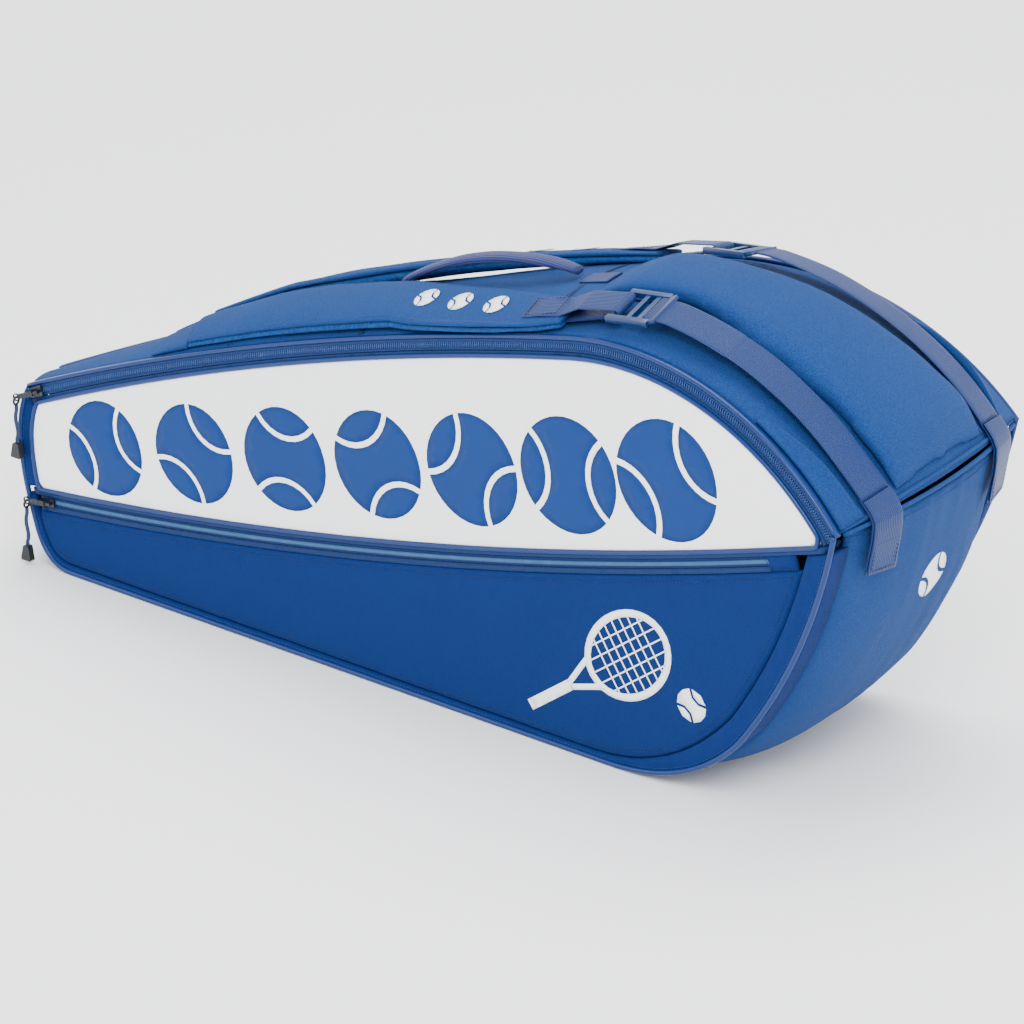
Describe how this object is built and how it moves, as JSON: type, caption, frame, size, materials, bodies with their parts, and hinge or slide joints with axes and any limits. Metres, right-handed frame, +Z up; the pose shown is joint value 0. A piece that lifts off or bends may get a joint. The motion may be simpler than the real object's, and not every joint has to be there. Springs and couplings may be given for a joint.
{
  "type": "racket tournament bag",
  "caption": "Long wedge-shaped racket bag with zipped compartments, side pockets, a top carry handle and padded backpack straps.",
  "frame": {"origin": "on the floor under the middle of the bag's length, on its centre plane", "axes": "+X towards the wide head end, -Y the front panel, +Z up"},
  "size_m": [0.7912, 0.2562, 0.3497],
  "materials": {
    "gusset_fabric": "melange woven polyester, matte",
    "pocket_fabric": "plain woven polyester, matte",
    "panel_white": "smooth coated fabric, satin",
    "lining": "thin woven lining",
    "foam": "closed foam",
    "board": "stiffener board",
    "webbing": "ribbed glossy webbing",
    "piping": "coated piping, satin",
    "zipper_coil": "nylon coil",
    "pocket_coil": "light nylon coil",
    "zipper_tape": "woven tape",
    "metal": "dark painted die casting",
    "pull_plastic": "moulded rubbery tip and ring",
    "cord": "braided cord",
    "buckle_plastic": "moulded plastic"
  },
  "bodies": {
    "bag": {"bottom_gusset": "gusset_fabric", "bottom_board": "board", "head_gusset": "gusset_fabric", "tip_gusset": "gusset_fabric", "top_gusset": "gusset_fabric", "top_pad": "gusset_fabric", "head_seam": "piping", "divider": "lining", "handle_anchors": "webbing", "front_lower_panel": "lining", "front_border": "pocket_fabric", "front_piping": "piping", "front_waist": "pocket_fabric", "front_main_chain": "zipper_coil", "front_binding": "zipper_tape", "front_pocket_chain": "pocket_coil", "front_gore": "gusset_fabric", "front_webbing": "webbing", "front_strap_root": "gusset_fabric", "rear_lower_panel": "lining", "rear_border": "pocket_fabric", "rear_piping": "piping", "rear_waist": "pocket_fabric", "rear_main_chain": "zipper_coil", "rear_binding": "zipper_tape", "rear_pocket_chain": "pocket_coil", "rear_gore": "gusset_fabric", "rear_webbing": "webbing", "rear_strap_root": "gusset_fabric"},
    "handle": {"handle_cover": "webbing", "handle_core": "foam"},
    "front_flap": {"front_flap_face": "panel_white", "front_flap_foam": "foam", "front_flap_lining": "lining", "front_flap_tape": "zipper_tape"},
    "front_pocket": {"front_pocket_panel": "pocket_fabric", "front_pocket_tape": "zipper_tape"},
    "front_main_slider": {"front_main_slider": "metal"},
    "front_main_pull": {"front_main_pull": "pull_plastic", "front_main_cord": "cord"},
    "front_pocket_slider": {"front_pocket_slider": "metal"},
    "front_pocket_pull": {"front_pocket_pull": "pull_plastic", "front_pocket_cord": "cord"},
    "front_strap": {"front_strap_pad": "gusset_fabric", "front_strap_loop": "webbing"},
    "front_buckle": {"front_buckle": "buckle_plastic"},
    "rear_flap": {"rear_flap": "panel_white", "rear_flap_tape": "zipper_tape"},
    "rear_pocket": {"rear_pocket_panel": "pocket_fabric", "rear_pocket_tape": "zipper_tape"},
    "rear_main_slider": {"rear_main_slider": "metal"},
    "rear_main_pull": {"rear_main_pull": "pull_plastic", "rear_main_cord": "cord"},
    "rear_pocket_slider": {"rear_pocket_slider": "metal"},
    "rear_pocket_pull": {"rear_pocket_pull": "pull_plastic", "rear_pocket_cord": "cord"},
    "rear_strap": {"rear_strap_pad": "gusset_fabric", "rear_strap_loop": "webbing"},
    "rear_buckle": {"rear_buckle": "buckle_plastic"}
  },
  "joints": [
    {"name": "handle_swing", "type": "hinge", "parent": "bag", "child": "handle", "pos_m": [0.0221, 0, 0.30666], "axis": [0.966, 0, 0.2586], "range_deg": [-10, 14]},
    {"name": "front_flap_open", "type": "hinge", "parent": "bag", "child": "front_flap", "pos_m": [-0.01659, -0.07272, 0.11683], "axis": [0.9697, -0.1334, 0.2047], "range_deg": [0, 78]},
    {"name": "front_pocket_open", "type": "hinge", "parent": "bag", "child": "front_pocket", "pos_m": [0, -0.075, 0.0077], "axis": [0.9907, -0.1362, 0], "range_deg": [0, 14]},
    {"name": "front_main_slider_run", "type": "hinge", "parent": "bag", "child": "front_main_slider", "pos_m": [0.74423, -0.17735, -2.36667], "axis": [0.1362, 0.9907, 0], "range_deg": [0, 11.14]},
    {"name": "front_main_pull_swing", "type": "hinge", "parent": "front_main_slider", "child": "front_main_pull", "pos_m": [-0.38219, -0.02748, 0.13317], "axis": [-0.1362, -0.9907, 0], "range_deg": [-60, 60]},
    {"name": "front_pocket_slider_run", "type": "hinge", "parent": "bag", "child": "front_pocket_slider", "pos_m": [-0.73102, 0.02554, 3.56477], "axis": [-0.1362, -0.9907, 0], "range_deg": [0, 10.89]},
    {"name": "front_pocket_pull_swing", "type": "hinge", "parent": "front_pocket_slider", "child": "front_pocket_pull", "pos_m": [-0.37383, -0.02863, 0.05215], "axis": [-0.1362, -0.9907, 0], "range_deg": [-60, 60]},
    {"name": "front_strap_lift", "type": "hinge", "parent": "bag", "child": "front_strap", "pos_m": [-0.22346, -0.02073, 0.22317], "axis": [0, -1, 0], "range_deg": [0, 15]},
    {"name": "front_buckle_tilt", "type": "hinge", "parent": "front_strap", "child": "front_buckle", "pos_m": [0.17332, -0.066, 0.3394], "axis": [0.0186, -0.9776, -0.2094], "range_deg": [0, 35]},
    {"name": "rear_flap_open", "type": "hinge", "parent": "bag", "child": "rear_flap", "pos_m": [-0.01659, 0.07272, 0.11683], "axis": [-0.9697, -0.1334, -0.2047], "range_deg": [0, 78]},
    {"name": "rear_pocket_open", "type": "hinge", "parent": "bag", "child": "rear_pocket", "pos_m": [0, 0.075, 0.0077], "axis": [-0.9907, -0.1362, 0], "range_deg": [0, 14]},
    {"name": "rear_main_slider_run", "type": "hinge", "parent": "bag", "child": "rear_main_slider", "pos_m": [0.74423, 0.17735, -2.36667], "axis": [-0.1362, 0.9907, 0], "range_deg": [0, 11.14]},
    {"name": "rear_main_pull_swing", "type": "hinge", "parent": "rear_main_slider", "child": "rear_main_pull", "pos_m": [-0.38219, 0.02748, 0.13317], "axis": [0.1362, -0.9907, 0], "range_deg": [-60, 60]},
    {"name": "rear_pocket_slider_run", "type": "hinge", "parent": "bag", "child": "rear_pocket_slider", "pos_m": [-0.73102, -0.02554, 3.56477], "axis": [0.1362, -0.9907, 0], "range_deg": [0, 10.89]},
    {"name": "rear_pocket_pull_swing", "type": "hinge", "parent": "rear_pocket_slider", "child": "rear_pocket_pull", "pos_m": [-0.37383, 0.02863, 0.05215], "axis": [0.1362, -0.9907, 0], "range_deg": [-60, 60]},
    {"name": "rear_strap_lift", "type": "hinge", "parent": "bag", "child": "rear_strap", "pos_m": [-0.22346, 0.02073, 0.22317], "axis": [0, -1, 0], "range_deg": [0, 15]},
    {"name": "rear_buckle_tilt", "type": "hinge", "parent": "rear_strap", "child": "rear_buckle", "pos_m": [0.17332, 0.066, 0.3394], "axis": [-0.0186, -0.9776, 0.2094], "range_deg": [0, 35]}
  ]
}
